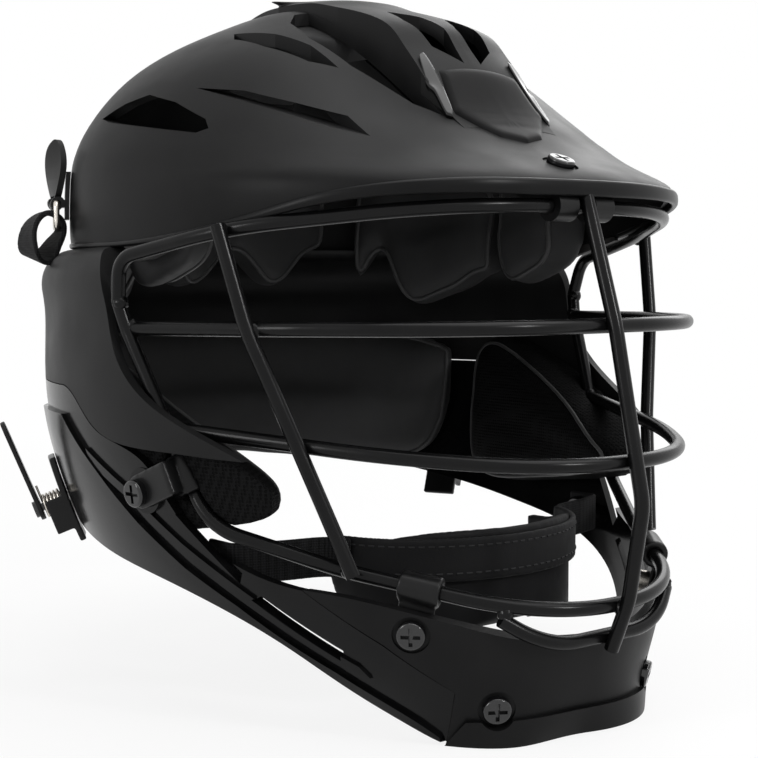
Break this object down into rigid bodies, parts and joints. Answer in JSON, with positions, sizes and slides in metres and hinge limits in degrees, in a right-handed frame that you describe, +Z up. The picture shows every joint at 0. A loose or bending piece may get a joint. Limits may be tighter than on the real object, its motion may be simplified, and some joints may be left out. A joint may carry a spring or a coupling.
{
  "type": "lacrosse helmet",
  "caption": "Youth field-sport helmet: vented moulded shell with visor, welded wire face cage, jaw and chin guards, foam pads, chin cup and rear strap hardware.",
  "frame": {"origin": "centre of the head, level with the ear canals, as the helmet is worn", "axes": "+Z up, -Y the way the face looks, +X the wearer's left"},
  "size_m": [0.2392, 0.283, 0.2614],
  "materials": {
    "shell_plastic": "matte black moulding with a fine grain",
    "gloss_plastic": "gloss black",
    "trim_plastic": "matte grey",
    "cage_wire": "satin black powder coat",
    "clip_plastic": "satin black",
    "screw_steel": "black plated steel",
    "nut_steel": "plain steel",
    "spring_steel": "bright steel wire",
    "pad_skin": "smooth black foam skin",
    "mesh_skin": "black mesh cloth",
    "cup_fabric": "black foam with stitched cloth",
    "webbing": "woven black webbing",
    "tab_rubber": "matte black rubber"
  },
  "bodies": {
    "helmet": {"crown_shell": "shell_plastic", "vent_liner_left": "gloss_plastic", "vent_liner_right": "gloss_plastic", "temple_trim_left": "trim_plastic", "temple_trim_right": "trim_plastic", "lower_shell": "shell_plastic", "jaw_guard_left": "shell_plastic", "jaw_guard_right": "shell_plastic", "chin_guard": "shell_plastic", "brow_wire": "cage_wire", "side_wire_left": "cage_wire", "side_wire_right": "cage_wire", "lower_wire": "cage_wire", "mouth_wire": "cage_wire", "eye_wire": "cage_wire", "chin_wire": "cage_wire", "centre_bar": "cage_wire", "side_bar_left": "cage_wire", "side_bar_right": "cage_wire", "brow_clip": "clip_plastic", "side_clip_left": "clip_plastic", "side_clip_right": "clip_plastic", "front_clip_left": "clip_plastic", "front_clip_right": "clip_plastic", "visor_screw": "screw_steel", "side_screws": "screw_steel", "chin_screws": "screw_steel", "shell_nuts": "nut_steel", "brow_pad": "pad_skin", "top_pad": "pad_skin", "side_pad_left": "pad_skin", "side_pad_right": "pad_skin", "rear_pad_left": "pad_skin", "rear_pad_right": "pad_skin", "back_pad": "pad_skin", "jaw_pad_left": "mesh_skin", "jaw_pad_right": "mesh_skin", "strap_snap_left": "screw_steel", "strap_snap_right": "screw_steel", "buckle_housing_left": "clip_plastic", "buckle_housing_right": "clip_plastic", "buckle_pin_left": "screw_steel", "buckle_pin_right": "screw_steel", "buckle_spring_left": "spring_steel", "buckle_spring_right": "spring_steel", "ring_anchor_left": "clip_plastic", "ring_anchor_right": "clip_plastic"},
    "neck_pad": {"neck_pad": "pad_skin"},
    "chin_cup": {"chin_cup": "cup_fabric", "chin_cup_band": "cup_fabric", "chin_strap_left": "webbing", "chin_strap_right": "webbing"},
    "adjuster_left": {"adjuster_ring_left": "spring_steel", "webbing_loop_left": "webbing"},
    "pull_tab_left": {"pull_tab_left": "tab_rubber"},
    "release_lever_left": {"release_lever_left": "clip_plastic"},
    "adjuster_right": {"adjuster_ring_right": "spring_steel", "webbing_loop_right": "webbing"},
    "pull_tab_right": {"pull_tab_right": "tab_rubber"},
    "release_lever_right": {"release_lever_right": "clip_plastic"}
  },
  "joints": [
    {"name": "neck_pad_slide", "type": "slide", "parent": "helmet", "child": "neck_pad", "axis": [0, -1, 0], "range_m": [0, 0.01]},
    {"name": "chin_cup_swing", "type": "hinge", "parent": "helmet", "child": "chin_cup", "pos_m": [0, -0.037, -0.08304], "axis": [1, 0, 0], "range_deg": [-8, 12]},
    {"name": "adjuster_left_swing", "type": "hinge", "parent": "helmet", "child": "adjuster_left", "pos_m": [0.10029, 0.05693, 0.0408], "axis": [0.4456, -0.8952, 0], "range_deg": [0, 40]},
    {"name": "pull_tab_left_lift", "type": "hinge", "parent": "helmet", "child": "pull_tab_left", "pos_m": [0.10029, 0.05693, 0.0408], "axis": [-0.4456, 0.8952, 0], "range_deg": [0, 60]},
    {"name": "release_lever_left_turn", "type": "hinge", "parent": "helmet", "child": "release_lever_left", "pos_m": [0.09431, 0.05667, -0.06996], "axis": [-0.8352, -0.4138, 0.3622], "range_deg": [0, 25], "stiffness_Nm_per_rad": 0.02},
    {"name": "adjuster_right_swing", "type": "hinge", "parent": "helmet", "child": "adjuster_right", "pos_m": [-0.10029, 0.05693, 0.0408], "axis": [0.4456, 0.8952, 0], "range_deg": [0, 40]},
    {"name": "pull_tab_right_lift", "type": "hinge", "parent": "helmet", "child": "pull_tab_right", "pos_m": [-0.10029, 0.05693, 0.0408], "axis": [-0.4456, -0.8952, 0], "range_deg": [0, 60]},
    {"name": "release_lever_right_turn", "type": "hinge", "parent": "helmet", "child": "release_lever_right", "pos_m": [-0.09431, 0.05667, -0.06996], "axis": [-0.8352, 0.4138, -0.3622], "range_deg": [0, 25], "stiffness_Nm_per_rad": 0.02}
  ]
}
